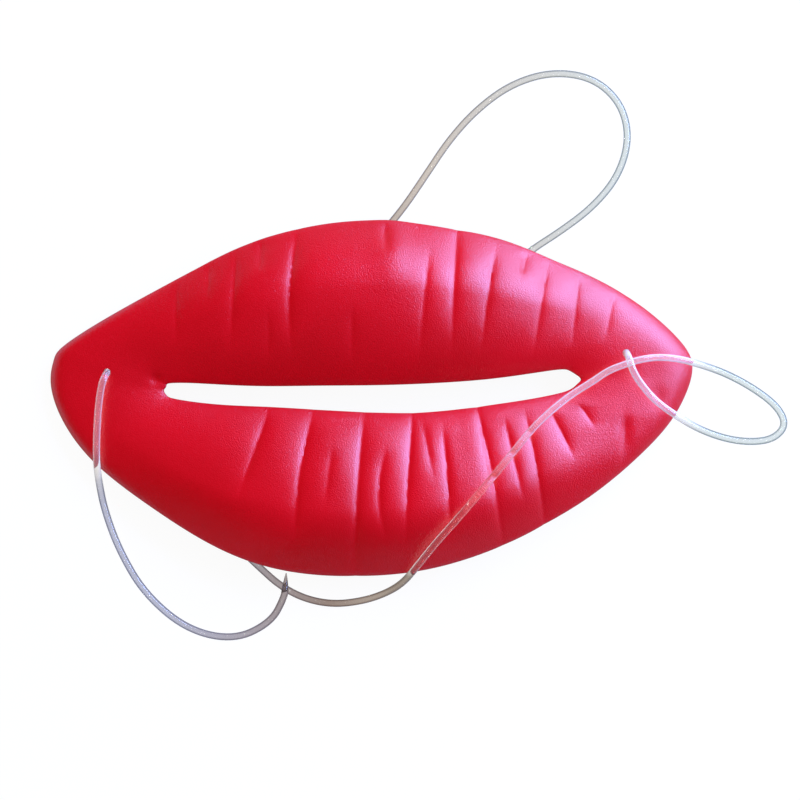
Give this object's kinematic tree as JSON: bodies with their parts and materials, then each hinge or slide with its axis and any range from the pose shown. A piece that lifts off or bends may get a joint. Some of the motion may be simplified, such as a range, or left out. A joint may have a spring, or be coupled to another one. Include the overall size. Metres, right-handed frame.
{
  "type": "lips mask",
  "caption": "Big moulded foam lips with a long mouth slot and a hollow back, worn over the mouth on a clear elastic cord through a hole at each corner.",
  "frame": {"origin": "middle of the lips' outline, on the table that the two mouth corners rest on", "axes": "+X along the mouth to the right corner as seen from the front, +Y to the upper lip, +Z out of the face"},
  "size_m": [0.2066, 0.157, 0.0221],
  "materials": {
    "lips_foam": "satin red closed-cell foam with a fine grain",
    "clear_elastic": "clear glossy elastic"
  },
  "bodies": {
    "root": {"lips": "lips_foam", "cord_left_tail": "clear_elastic", "cord_head_loop": "clear_elastic", "cord_right_tail": "clear_elastic"}
  },
  "joints": []
}
